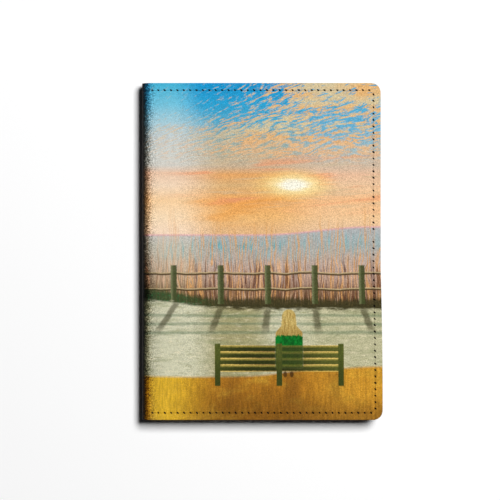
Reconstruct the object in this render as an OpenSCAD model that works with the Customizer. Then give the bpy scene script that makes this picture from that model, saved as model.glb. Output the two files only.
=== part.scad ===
// Pocket sketchbook: a sewn A6 insert tucked into a stitched leather slip-on cover.
// Closed, lying on its back cover: spine at -X, head at +Y, front cover on top (+Z).
// Origin: middle of the underside.

/* [Cover] */
// Width of the closed book, spine to fore-edge
cover_w = 112; // [100:1:124]
// Height of the closed book, head to tail
cover_h = 158; // [140:1:180]
// Radius of the two fore-edge corners
corner_r = 4.5; // [2:0.5:8]
// Thickness of the printed skin
skin_t = 0.9; // [0.8:0.05:1.1]
// Thickness of the lining
lining_t = 0.3; // [0.2:0.05:0.4]
// Width of the skin strip between the spine and the crease that the front cover folds at
hinge_w = 5.1; // [5:0.1:6.5]

/* [Stitching] */
// Distance from the cut edge to the stitch line
stitch_inset = 3.4; // [3.2:0.1:4]
// Stitch length aimed for; the real one divides each side evenly
stitch_pitch = 3; // [2.5:0.1:3.5]
// How far each side stops short of the corner, where one slanted stitch turns it
corner_cut = 2; // [1.5:0.1:2.5]
// Needle hole diameter
hole_d = 0.6; // [0.5:0.05:0.7]
// Thread diameter
thread_d = 0.4; // [0.3:0.05:0.45]
// Depth of the groove the top thread lies in
groove_depth = 0.25; // [0.2:0.05:0.3]

/* [Pockets] */
// How far each pocket reaches in from the fore-edge
pocket_w = 48; // [35:1:60]
// Thickness of the pocket flap
flap_t = 0.4; // [0.3:0.05:0.5]

/* [Insert] */
// Thickness of the card wrapper
card_t = 0.5; // [0.3:0.05:0.6]
// Gap between the leaves and the stitch line, at head, tail and fore-edge
page_margin = 1.6; // [1.5:0.1:3]
// Radius of the leaves' fore-edge corners
page_corner_r = 3; // [1:0.5:5]
// Thickness of one leaf of paper
leaf_t = 0.12; // [0.1:0.01:0.14]
// Room for the sewing thread in the middle of each signature
centre_gap = 0.15; // [0.12:0.01:0.2]
// Distance between the end sewing holes
sewing_span = 120; // [90:5:130]

/* [Hidden] */
signatures = 6;
sheets = 3;
stations = 5;
seat_gap = 0.04;
air = 0.05;
leaf_gap = 0.01;
sig_gap = 0.02;
liner_t = 0.2;
hollow = 0.2;
fold_gap = 0.1;
lining_inset = 0.15;
wall_gap = 0.25;
groove_w = hole_d;
bar_t = groove_depth - 0.05;
sew_t = 0.1;
sew_w = 0.3;
sew_hole = 0.5;
eps = 0.01;

x_spine = -cover_w / 2;
x_edge = cover_w / 2;
y_edge = cover_h / 2;

// heights on the lower half; the upper half is their mirror image
z_lining = skin_t;
z_card = skin_t + lining_t + seat_gap;
z_flap = z_card + card_t + seat_gap;
z_block = z_flap + flap_t + seat_gap;
sig_t = 2 * sheets * leaf_t + 2 * (sheets - 1) * leaf_gap + centre_gap;
sig_step = sig_t + sig_gap;
book_t = 2 * z_block + signatures * sig_step;

// folding lines of the skin
fold_r = skin_t / 2;
fold_x = x_spine + fold_r;
panel_x = fold_x + fold_r + air;
crease_x = x_spine + hinge_w + air;

// layers behind the spine skin
x_spine_lining = x_spine + skin_t;
x_spine_card = x_spine_lining + lining_t + hollow;
x_liner = x_spine_card + card_t;
x_fold = x_liner + liner_t + fold_gap;

// stitch line
row_y = y_edge - stitch_inset;
col_x = x_edge - stitch_inset;
row_x0 = x_spine + 1.6;
row_x1 = col_x - corner_cut;
row_n = round((row_x1 - row_x0) / stitch_pitch);
row_step = (row_x1 - row_x0) / row_n;
col_y = row_y - corner_cut;
col_n = round(2 * col_y / stitch_pitch);
col_step = 2 * col_y / col_n;
hinge_holes = floor((crease_x - 0.7 * hole_d - row_x0) / row_step) + 1;
spine_holes = 3;

page_x = col_x - page_margin + 0.2;
page_y = row_y - page_margin;
pocket_x = x_edge - pocket_w;
cavity_x = page_x + wall_gap;
cavity_y = page_y + wall_gap;
margin_z = skin_t + lining_t;

// ---- helpers ----

// a shape of the lower half carried to the upper half
module upper() {
  translate([0, 0, book_t]) mirror([0, 0, 1]) children();
}

// a flat outline from x0 to x1, its two corners at x1 rounded
module outline(x0, x1, y, r) {
  translate([x0, -y]) square([x1 - r - x0, 2 * y]);
  translate([x0, -y + r]) square([x1 - x0, 2 * (y - r)]);
  for (s = [-1, 1]) translate([x1 - r, s * (y - r)]) circle(r = r, $fn = 48);
}

// the same outline with flat facets at its corners
module leaf_outline(x0, x1, y, r) {
  steps = 6;
  polygon(concat(
    [[x0, -y]],
    [for (i = [0:steps]) [x1 - r + r * sin(90 * i / steps), -y + r - r * cos(90 * i / steps)]],
    [for (i = [0:steps]) [x1 - r + r * cos(90 * i / steps), y - r + r * sin(90 * i / steps)]],
    [[x0, y]]
  ));
}

module plate(x0, x1, y, r, z, t) {
  translate([0, 0, z]) linear_extrude(t) outline(x0, x1, y, r);
}

// a straight plate with square ends
module strip(x0, x1, y, z, t) {
  translate([x0, -y, z]) cube([x1 - x0, 2 * y, t]);
}

// the i-th place on the head or tail row, and the j-th on the fore-edge column
function row_at(i, side) = [row_x0 + i * row_step, side * row_y];
function col_at(j) = [col_x, -col_y + j * col_step];

// all the places of one panel in sewing order, from row place i0: tail row, column, head row
function line_from(i0) = concat(
  [for (i = [i0:row_n]) row_at(i, -1)],
  [for (j = [0:col_n]) col_at(j)],
  [for (i = [row_n:-1:i0]) row_at(i, 1)]
);
// the two short runs on the hinge strip
function hinge_run(side) = [for (i = [0:hinge_holes - 1]) row_at(i, side)];

module needle_holes(line) {
  for (p = line) translate([p[0], p[1], -eps]) cylinder(d = hole_d, h = book_t / 2, $fn = 8);
}

// a square bar laid from one place to the next
module bar(a, b, w, z, t) {
  d = b - a;
  translate([a[0], a[1], z]) rotate([0, 0, atan2(d[1], d[0])])
    translate([0, -w / 2, 0]) cube([norm(d), w, t]);
}

// the thread is drawn a little thinner where it goes down a hole
module leg(p, z0, z1) {
  translate([p[0], p[1], z0]) cylinder(d = 0.85 * thread_d, h = z1 - z0, $fn = 8);
}

// groove in the outer face along the whole stitch line
module groove() {
  for (s = [-1, 1]) {
    translate([x_spine - eps, s * row_y - groove_w / 2, -eps])
      cube([row_x1 - x_spine + groove_w / 2, groove_w, groove_depth + eps]);
    bar([row_x1, s * row_y], [col_x, s * col_y], groove_w, -eps, groove_depth + eps);
  }
  translate([col_x - groove_w / 2, -col_y - groove_w / 2, -eps])
    cube([groove_w, 2 * col_y + groove_w, groove_depth + eps]);
}

// height of the inner face that the bobbin thread lies on, at x
function inner_z(x) = margin_z + (x > pocket_x ? flap_t : 0);

// top thread: bars in the groove, a leg down into every hole
module top_thread(line) {
  low = groove_depth - bar_t;
  for (i = [0:len(line) - 2]) bar(line[i], line[i + 1], thread_d, low, bar_t);
  for (p = line) leg(p, low, margin_z / 2);
}

// bobbin thread: bars on the inner face, a leg back into every hole
module bobbin_thread(line) {
  for (i = [0:len(line) - 2])
    bar(line[i], line[i + 1], thread_d, inner_z(max(line[i][0], line[i + 1][0])), bar_t);
  for (p = line) leg(p, margin_z / 2 + air, inner_z(p[0] + row_step * 0.9) + bar_t);
}

// ---- the two cover panels; x0 is where each begins ----

module skin_panel(x0, line) {
  difference() {
    plate(x0, x_edge, y_edge, corner_r, 0, skin_t);
    groove();
    needle_holes(line);
  }
}

module lining_panel(x0, line) {
  inset = lining_inset;
  difference() {
    plate(x0, x_edge - inset, y_edge - inset, corner_r - inset, z_lining, lining_t);
    needle_holes(line);
  }
}

// the flap is sewn down round three sides and stands up over the card
module pocket(line) {
  inset = lining_inset;
  difference() {
    union() {
      plate(pocket_x, x_edge - inset, y_edge - inset, corner_r - inset, margin_z, flap_t);
      translate([0, 0, margin_z]) linear_extrude(z_flap + flap_t - margin_z)
        leaf_outline(pocket_x, cavity_x + flap_t, cavity_y + flap_t, page_corner_r);
    }
    translate([0, 0, margin_z - eps]) linear_extrude(z_flap - margin_z + eps)
      leaf_outline(pocket_x - eps, cavity_x, cavity_y, page_corner_r);
    needle_holes(line);
  }
}

module card_panel(x0) {
  translate([0, 0, z_card]) linear_extrude(card_t)
    leaf_outline(x0, page_x + air, page_y, page_corner_r);
}

module back_skin() { color("peru") skin_panel(panel_x, line_from(0)); }
module back_lining() { color("saddlebrown") lining_panel(x_spine_card - air, line_from(0)); }
module back_pocket() { color("sienna") pocket(line_from(0)); }
module back_card() { color("tan") card_panel(x_fold); }
module back_stitching() { color("goldenrod") top_thread(line_from(0)); }
module back_bobbin_thread() { color("darkgoldenrod") bobbin_thread(line_from(0)); }

module front_skin() { color("skyblue") upper() skin_panel(crease_x + air, line_from(hinge_holes)); }
module front_lining() { color("saddlebrown") upper() lining_panel(crease_x + air, line_from(hinge_holes)); }
module front_pocket() { color("sienna") upper() pocket(line_from(hinge_holes)); }
module front_card() { color("tan") upper() card_panel(crease_x + air); }
module front_stitching() { color("goldenrod") upper() top_thread(line_from(hinge_holes)); }
module front_bobbin_thread() { color("darkgoldenrod") upper() bobbin_thread(line_from(hinge_holes)); }

// ---- the strip between the spine and the crease ----

module hinge_skin() {
  color("peru") upper() difference() {
    strip(panel_x, crease_x - air, y_edge, 0, skin_t);
    groove();
    needle_holes(concat(hinge_run(-1), hinge_run(1)));
  }
}

module hinge_lining() {
  color("saddlebrown") upper() difference() {
    strip(x_spine_card - air, crease_x - air, y_edge - lining_inset, z_lining, lining_t);
    needle_holes(concat(hinge_run(-1), hinge_run(1)));
  }
}

module hinge_card() { color("tan") upper() strip(x_fold, crease_x - air, page_y, z_card, card_t); }

module hinge_stitching() {
  color("goldenrod") upper() for (s = [-1, 1]) top_thread(hinge_run(s));
}

module hinge_bobbin_thread() {
  color("darkgoldenrod") upper() for (s = [-1, 1]) bobbin_thread(hinge_run(s));
}

// ---- the spine ----

// lays a shape drawn flat against the spine: its z becomes depth behind the outer face,
// and its x runs up the spine from the underside
module on_spine() {
  translate([x_spine, 0, 0]) multmatrix([[0, 0, 1, 0], [0, 1, 0, 0], [1, 0, 0, 0]]) children();
}

function spine_run(side) = [
  for (i = [0:spine_holes - 1]) [book_t / 2 + (i - (spine_holes - 1) / 2) * stitch_pitch, side * row_y]
];

module spine_skin() {
  color("peru") difference() {
    translate([0, y_edge, 0]) rotate([90, 0, 0]) linear_extrude(2 * y_edge) union() {
      translate([x_spine, fold_r]) square([skin_t, book_t - 2 * fold_r]);
      for (z = [fold_r, book_t - fold_r]) translate([fold_x, z]) circle(r = fold_r, $fn = 12);
    }
    on_spine() needle_holes(concat(spine_run(-1), spine_run(1)));
    for (s = [-1, 1]) translate([x_spine - eps, s * row_y - groove_w / 2, -eps])
      cube([groove_depth + eps, groove_w, book_t + 2 * eps]);
  }
}

module spine_lining() {
  z0 = z_lining + lining_t;
  color("saddlebrown") difference() {
    on_spine() strip(z0, book_t - z0, y_edge - lining_inset, skin_t, lining_t);
    on_spine() needle_holes(concat(spine_run(-1), spine_run(1)));
  }
}

module spine_card() {
  color("tan") translate([x_spine_card, -page_y, z_card])
    cube([card_t, 2 * page_y, book_t - 2 * z_card]);
}

module spine_liner() {
  inset = 6;
  color("whitesmoke") translate([x_liner, -page_y + inset, z_block])
    cube([liner_t, 2 * (page_y - inset), book_t - 2 * z_block]);
}

module spine_stitching() {
  color("goldenrod") on_spine() for (s = [-1, 1]) top_thread(spine_run(s));
}

module spine_bobbin_thread() {
  t = hollow - air;
  color("darkgoldenrod") on_spine() for (s = [-1, 1]) {
    line = spine_run(s);
    for (i = [0:spine_holes - 2]) bar(line[i], line[i + 1], thread_d, margin_z, t);
    for (p = line) leg(p, margin_z / 2 + air, margin_z + t);
  }
}

// ---- the insert ----

function sig_z(s) = s <= signatures / 2
  ? z_block + (s - 1) * sig_step
  : book_t - z_block - (signatures - s) * sig_step - sig_t;

function station_y(i) = sewing_span * (i / (stations - 1) - 0.5);

// side view of one folded sheet: a U lying on its side, the k-th from outside
module sheet_profile(k) {
  steps = 10;
  in = (k - 1) * (leaf_t + leaf_gap);
  ro = sig_t / 2 - in;
  ri = ro - leaf_t;
  cx = x_fold + sig_t / 2;
  polygon(concat(
    [[page_x, -ro]],
    [for (i = [0:steps]) [cx - ro * sin(180 * i / steps), -ro * cos(180 * i / steps)]],
    [[page_x, ro], [page_x, ri]],
    [for (i = [0:steps]) [cx - ri * sin(180 * i / steps), ri * cos(180 * i / steps)]],
    [[page_x, -ri]]
  ));
}

module sheet(s, k) {
  color("ivory") translate([0, 0, sig_z(s) + sig_t / 2]) difference() {
    intersection() {
      rotate([90, 0, 0]) translate([0, 0, -page_y]) linear_extrude(2 * page_y) sheet_profile(k);
      translate([0, 0, -sig_t]) linear_extrude(2 * sig_t)
        leaf_outline(x_fold - 1, page_x, page_y, page_corner_r);
    }
    for (i = [0:stations - 1])
      translate([x_fold - eps, station_y(i) - sew_hole / 2, -sew_t])
        cube([sheets * (leaf_t + leaf_gap) + centre_gap / 2, sew_hole, 2 * sew_t]);
  }
}

// runs along the middle of the fold and out to its back at every sewing hole
module sewing_thread(s) {
  x0 = x_fold + sheets * (leaf_t + leaf_gap) + centre_gap / 2;
  color("linen") translate([0, 0, sig_z(s) + sig_t / 2 - sew_t / 2]) {
    translate([x0, -sewing_span / 2 - sew_w / 2, 0]) cube([sew_w, sewing_span + sew_w, sew_t]);
    for (i = [0:stations - 1])
      translate([x_fold, station_y(i) - sew_w / 2, 0]) cube([x0 - x_fold + eps, sew_w, sew_t]);
  }
}

back_skin();
back_lining();
back_pocket();
back_card();
back_stitching();
back_bobbin_thread();
spine_skin();
spine_lining();
spine_card();
spine_liner();
spine_stitching();
spine_bobbin_thread();
hinge_skin();
hinge_lining();
hinge_card();
hinge_stitching();
hinge_bobbin_thread();
front_skin();
front_lining();
front_pocket();
front_card();
front_stitching();
front_bobbin_thread();
for (s = [1:signatures]) for (k = [1:sheets])
  sheet(s, k);
for (s = [1:signatures])
  sewing_thread(s);
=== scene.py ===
"""Pocket sketchbook in a printed leather slip-on cover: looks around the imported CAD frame.

Lengths are in millimetres until a mesh is made; the studio's are in metres. The cover's layers share one
cross-section path, each offset to its own depth, so that they roll round the spine together. Every folded
sheet has a path of its own.
"""

import math

import bpy
import numpy as np
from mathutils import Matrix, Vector


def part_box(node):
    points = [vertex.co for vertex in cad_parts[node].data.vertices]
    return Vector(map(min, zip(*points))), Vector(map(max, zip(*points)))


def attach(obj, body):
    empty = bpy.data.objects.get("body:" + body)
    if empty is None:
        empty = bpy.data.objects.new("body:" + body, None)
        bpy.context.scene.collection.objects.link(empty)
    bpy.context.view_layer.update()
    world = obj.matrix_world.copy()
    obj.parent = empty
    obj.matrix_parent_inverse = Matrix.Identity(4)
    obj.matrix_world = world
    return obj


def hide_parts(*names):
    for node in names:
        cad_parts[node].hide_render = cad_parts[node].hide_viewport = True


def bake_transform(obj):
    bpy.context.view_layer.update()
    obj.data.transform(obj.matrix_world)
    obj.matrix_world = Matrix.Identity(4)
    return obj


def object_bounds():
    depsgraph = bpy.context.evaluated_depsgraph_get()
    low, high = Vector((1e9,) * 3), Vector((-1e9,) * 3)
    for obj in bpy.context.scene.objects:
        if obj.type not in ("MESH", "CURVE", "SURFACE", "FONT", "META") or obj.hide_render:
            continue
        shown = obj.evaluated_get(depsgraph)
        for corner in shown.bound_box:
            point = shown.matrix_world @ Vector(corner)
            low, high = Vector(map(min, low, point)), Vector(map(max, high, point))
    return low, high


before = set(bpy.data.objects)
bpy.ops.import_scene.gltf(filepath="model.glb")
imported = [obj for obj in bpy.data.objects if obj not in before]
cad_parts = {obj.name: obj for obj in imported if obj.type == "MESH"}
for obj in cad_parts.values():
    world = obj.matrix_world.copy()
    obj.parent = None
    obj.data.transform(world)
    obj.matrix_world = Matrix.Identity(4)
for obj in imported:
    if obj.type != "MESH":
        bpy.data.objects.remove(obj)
cad_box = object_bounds()

MM = 0.001
LOW, HIGH = (np.array(c) / MM for c in cad_box)
SPINE_X, EDGE_X = LOW[0], HIGH[0]
EDGE_Y = HIGH[1]
BOOK_T = HIGH[2]


def node_box(name):
    """A CAD node's lowest and highest corner, in millimetres."""
    return [np.array(c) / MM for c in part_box(name)]


# ------------------------------------------------------------------ layers, as depth behind the outer face
SKIN = (0.0, 0.9)
LINING = (0.9, 1.2)
CARD = (1.26, 1.74)
FLAP_DOWN = (1.2, 1.6)
FLAP_UP = (1.78, 2.18)
LINER = (1.80, 1.94)
CORNER_R = 4.5
PAGE_CORNER_R = 3.0
LINING_INSET = 0.15

# mesh lines stand this far in from a free edge, closer together where a corner is round or an edge turns down
SKIN_EDGE = (4.5, 1.4, 0.95)
LINING_EDGE = (4.4, 3.4, 2.2, 1.1)
CARD_EDGE = (3, 2.2, 1.4, 0.7)
PAGE_EDGE = (3, 2.4, 1.6, 0.8)
POCKET_EDGE = (0.0, 0.5, 1.1, 2.2, 3.4, 4.2, 4.5, 4.65, 4.8, 5.0)

# the print is drawn by three materials that meet along these heights, because one for all of it is too large
# to compile
ZONE_EDGES = (7.0, -29.5)
ZONES = ("sky", "shore", "path")

# ------------------------------------------------------------------ stitch line
STITCH_INSET = 3.4
CORNER_CUT = 2.0
ROW_Y = EDGE_Y - STITCH_INSET
COLUMN_HOLES = 50
ROUND_HOLES = 74


class Path:
    """A line from the middle of a fold that turns a quarter and runs on; its lower half is the mirror image.

    s is the distance from the middle of the fold, positive on the upper half. turns is a list of
    (length, heading at its end in degrees), and the heading starts at 90, straight up."""

    STEP = 0.02

    def __init__(self, x0, z_mid, turns, x_end, flare=0.0):
        heads, at = [90.0], 90.0
        for length, to in turns:
            n = max(1, round(length / self.STEP))
            heads += list(np.linspace(at, to, n + 1)[1:])
            at = to
        used = self.STEP * np.cos(np.radians(heads)).sum()
        n = max(2, math.ceil((x_end - x0 - used) / self.STEP) + 4)
        heads = np.array(heads + [at] * n)
        mid = np.radians((heads[1:] + heads[:-1]) / 2)
        self.s = np.arange(len(heads)) * self.STEP
        self.x = x0 + np.concatenate([[0], np.cumsum(np.cos(mid))]) * self.STEP
        self.h = np.concatenate([[0], np.cumsum(np.sin(mid))]) * self.STEP
        self.a = np.radians(heads)
        self.z_mid, self.flare = z_mid, flare
        self.length = float(np.interp(x_end, self.x, self.s))

    def at(self, s, y, off):
        """Points in millimetres at distance s, place y and depth off behind the outer face."""
        s, y, off = np.broadcast_arrays(*(np.asarray(v, float) for v in (s, y, off)))
        m = np.abs(s)
        a = np.interp(m, self.s, self.a)
        x = np.interp(m, self.s, self.x) + off * np.sin(a)
        h = np.interp(m, self.s, self.h) - off * np.cos(a)
        tail = np.clip(-y / 64 - 0.12, 0, 1)
        x = x + self.flare * np.clip(s / self.length, 0, 1) * tail * (2 - tail)
        return np.stack([x, y, self.z_mid + np.where(s < 0, -1, 1) * h], -1)


# the cover rolls round the spine in two soft bends, then eases into flat panels
BEND_R, BEND_LIFT, EASE = 4.4, 4.0, 9.0
BEND_LEN = BEND_R * math.radians(90 - BEND_LIFT)
BEND_RISE = BEND_R * math.cos(math.radians(BEND_LIFT)) + EASE * math.radians(BEND_LIFT) / 2
SPINE_FLAT = BOOK_T / 2 - BEND_RISE
COVER = Path(
    SPINE_X, BOOK_T / 2, [(SPINE_FLAT, 90), (BEND_LEN, BEND_LIFT), (EASE, 0)], EDGE_X, flare=0.95
)
COVER_S = COVER.length
BEND_END = SPINE_FLAT + BEND_LEN
CREASE_W = 2.2
CREASE_END = BEND_END + CREASE_W
HOLE_S = COVER_S - STITCH_INSET
ROUND_S = HOLE_S - CORNER_CUT
PRINT_SHIFT = EDGE_X - COVER_S  # added to s it gives x on the flat front panel


# ------------------------------------------------------------------ meshes
def lines(low, high, step, extra=(), near_ends=()):
    """Grid lines from low to high, no further apart than step, with extra ones and some close to the ends."""
    marks = {round(v, 5) for v in (low, high, *extra) if low - 1e-6 <= v <= high + 1e-6}
    for end, sign in ((low, 1), (high, -1)):
        if end in near_ends:
            marks |= {round(end + sign * d, 5) for d in (0.05, 0.13, 0.26, 0.5)}
    marks = sorted(marks)
    out = [marks[0]]
    for a, b in zip(marks, marks[1:]):
        n = max(1, math.ceil((b - a) / step - 1e-6))
        out += [a + (b - a) * (i + 1) / n for i in range(n)]
    return np.array(out)


def inward(ends, distances):
    """Grid marks at each of these distances inward from every end."""
    return [end - math.copysign(d, end) for end in ends for d in distances]


def corner_map(s, y, s_end, y_end, r):
    """Pulls the square corners at s_end (of the sign of s_end) in to round ones."""
    way = 1 if s_end > 0 else -1
    ds = (s - (s_end - way * r)) * way
    dy = np.abs(y) - (y_end - r)
    inside = (ds > 0) & (dy > 0)
    reach = np.hypot(np.where(inside, ds, 1), np.where(inside, dy, 0))
    k = np.where(inside, np.maximum(ds, dy) / reach, 1)
    s2 = np.where(inside, s_end - way * r + way * ds * k, s)
    y2 = np.where(inside, np.sign(y) * (y_end - r + dy * k), y)
    return s2, y2


def edge_drop(d, r=0.26):
    """How far the face has turned down at distance d from a cut edge."""
    d = np.clip(d, 0, r)
    return r - np.sqrt(np.maximum(r * r - (r - d) ** 2, 0))


def new_object(name, verts, faces, attributes, material, smooth=40):
    mesh = bpy.data.meshes.new(name)
    verts = np.asarray(verts)
    mesh.from_pydata((verts * MM).tolist(), [], faces)
    mesh.polygons.foreach_set("use_smooth", [True] * len(mesh.polygons))
    mesh.set_sharp_from_angle(angle=math.radians(smooth))
    for key, values in attributes.items():
        layer = mesh.attributes.new(key, "FLOAT_VECTOR", "POINT")
        layer.data.foreach_set("vector", np.asarray(values, np.float32).ravel())
    if isinstance(material, tuple):
        for m in material:
            mesh.materials.append(m)
        y = [sum(verts[i][1] for i in f) / len(f) for f in faces]
        mesh.polygons.foreach_set("material_index", [sum(v < edge for edge in ZONE_EDGES) for v in y])
    else:
        mesh.materials.append(material)
    obj = bpy.data.objects.new(name, mesh)
    bpy.context.scene.collection.objects.link(obj)
    return obj


HOLE_RING = 8
HOLE_HALF = 0.78
HOLE_STEP = 2.05 * HOLE_HALF
HOLE_SIZE = (0.68, 0.42)
HOLE_LEVELS = ((1.0, 0.04), (0.90, 0.20), (0.74, 0.66))


def slab(name, path, s_lines, y_lines, outer, inner, material, corners=(), holes=(), tag=None):
    """A closed sheet of material along a path, between two depths.

    outer and inner are depths or functions of (s, y). corners are (s_end, radius). holes are (s, y, slant).
    The "rest" attribute holds the place on the flat cover, with the depth, or tag where one is given."""
    s, y = np.meshgrid(s_lines, y_lines, indexing="ij")
    y_end = y_lines[-1]
    s2, y2 = s, y
    for s_end, r in corners:
        s2, y2 = corner_map(s2, y2, s_end, y_end, r)
    depth = [f(s, y) if callable(f) else np.full_like(s, f) for f in (outer, inner)]
    points = [path.at(s2, y2, d) for d in depth]
    ns, ny = s.shape
    index = np.arange(2 * ns * ny).reshape(2, ns, ny)
    verts = np.concatenate([p.reshape(-1, 3) for p in points])
    marks = depth if tag is None else [np.full_like(s2, tag)] * 2
    rest = np.concatenate([np.stack([s2 + PRINT_SHIFT, y2, m], -1).reshape(-1, 3) for m in marks])
    o, n = index
    quads = np.stack([o[:-1, :-1], o[1:, :-1], o[1:, 1:], o[:-1, 1:]], -1)
    keep = np.ones(quads.shape[:2], bool)
    more_verts, more_rest, more_faces = [], [], []
    count = len(verts)
    for hs, hy, slant in holes:
        i = int(np.argmin(np.abs(s_lines - (hs - HOLE_HALF))))
        j = int(np.argmin(np.abs(y_lines - (hy - HOLE_HALF))))
        keep[i, j] = False
        square = [o[i + 1, j + 1], o[i, j + 1], o[i, j], o[i + 1, j]]
        uneven = math.sin(hs * 7.3 + hy * 3.1)
        turn = math.radians(slant + 14 * uneven)
        angle = np.radians(45 * np.arange(HOLE_RING) + 22.5)
        last = None
        for scale, deep in HOLE_LEVELS:
            scale *= 1 - 0.07 * math.cos(hs * 5.1 - hy * 4.7)
            e, f = HOLE_SIZE[0] * scale * np.cos(angle - turn), HOLE_SIZE[1] * scale * np.sin(angle - turn)
            rs = hs + e * math.cos(turn) - f * math.sin(turn)
            ry = hy + e * math.sin(turn) + f * math.cos(turn)
            more_verts.append(path.at(rs, ry, deep))
            more_rest.append(np.stack([rs + PRINT_SHIFT, ry, np.full(HOLE_RING, deep)], -1))
            ring = list(range(count, count + HOLE_RING))
            count += HOLE_RING
            for k in range(HOLE_RING):
                k2 = (k + 1) % HOLE_RING
                if last:
                    more_faces.append([last[k], last[k2], ring[k2], ring[k]])
                elif k % 2 == 0:
                    more_faces.append([square[k // 2], ring[k2], ring[k]])
                else:
                    more_faces.append([square[k // 2], square[(k // 2 + 1) % 4], ring[k2], ring[k]])
            last = ring
        more_faces.append(last[:])
    faces = quads[keep].tolist()
    faces += np.stack([n[:-1, :-1], n[:-1, 1:], n[1:, 1:], n[1:, :-1]], -1).reshape(-1, 4).tolist()
    faces += np.stack([o[:-1, 0], n[:-1, 0], n[1:, 0], o[1:, 0]], -1).tolist()
    faces += np.stack([o[:-1, -1], o[1:, -1], n[1:, -1], n[:-1, -1]], -1).tolist()
    faces += np.stack([o[0, :-1], o[0, 1:], n[0, 1:], n[0, :-1]], -1).tolist()
    faces += np.stack([o[-1, :-1], n[-1, :-1], n[-1, 1:], o[-1, 1:]], -1).tolist()
    faces += more_faces
    if more_verts:
        verts = np.concatenate([verts, *more_verts])
        rest = np.concatenate([rest, *more_rest])
    return new_object(name, verts, faces, {"rest": rest}, material)


THREAD_SIDES = 8
ROUND_COS, ROUND_SIN = (f(2 * math.pi * np.arange(THREAD_SIDES) / THREAD_SIDES) for f in (np.cos, np.sin))


def thread_run(name, path, stitches, radius, material, inside=None):
    """A row of stitches, each a short length of thread that dips into the holes at both ends.

    stitches are pairs of (s, y) places. inside is the depth of the face that a bobbin thread lies on."""
    span = np.array([0.155, 0.175, 0.215, 0.31, 0.5, 0.69, 0.785, 0.825, 0.845])
    sink = np.array([0.60, 0.36, 0.13, 0.05, 0.03, 0.05, 0.13, 0.36, 0.60])
    verts, rest, strand, faces = [], [], [], []
    for (s0, y0), (s1, y1) in stitches:
        length = math.hypot(s1 - s0, y1 - y0)
        s, y = s0 + (s1 - s0) * span, y0 + (y1 - y0) * span
        off = sink if inside is None else inside(s, y) - sink
        centre = path.at(s, y, off)
        along = np.gradient(centre, axis=0)
        along /= np.linalg.norm(along, axis=1)[:, None]
        d = 0.01
        side = path.at(s - d * (y1 - y0) / length, y + d * (s1 - s0) / length, off) - centre
        side /= np.linalg.norm(side, axis=1)[:, None]
        up = np.cross(along, side)
        first = len(verts) * THREAD_SIDES
        for c, sd, u, t, ps, py in zip(centre, side, up, span, s, y):
            ring = c + radius * (ROUND_COS[:, None] * sd + ROUND_SIN[:, None] * u)
            verts.append(ring)
            rest.append(np.tile([ps + PRINT_SHIFT, py, 0.0], (THREAD_SIDES, 1)))
            strand.append(np.stack([np.full(THREAD_SIDES, t * length), ROUND_COS, ROUND_SIN], -1))
        for i in range(len(span) - 1):
            for k in range(THREAD_SIDES):
                a, b = first + i * THREAD_SIDES + k, first + i * THREAD_SIDES + (k + 1) % THREAD_SIDES
                faces.append([a, b, b + THREAD_SIDES, a + THREAD_SIDES])
        faces.append(list(range(first, first + THREAD_SIDES))[::-1])
        end = first + (len(span) - 1) * THREAD_SIDES
        faces.append(list(range(end, end + THREAD_SIDES)))
    return new_object(
        name, np.concatenate(verts), faces,
        {"rest": np.concatenate(rest), "strand": np.concatenate(strand)}, material, smooth=60,
    )


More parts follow.
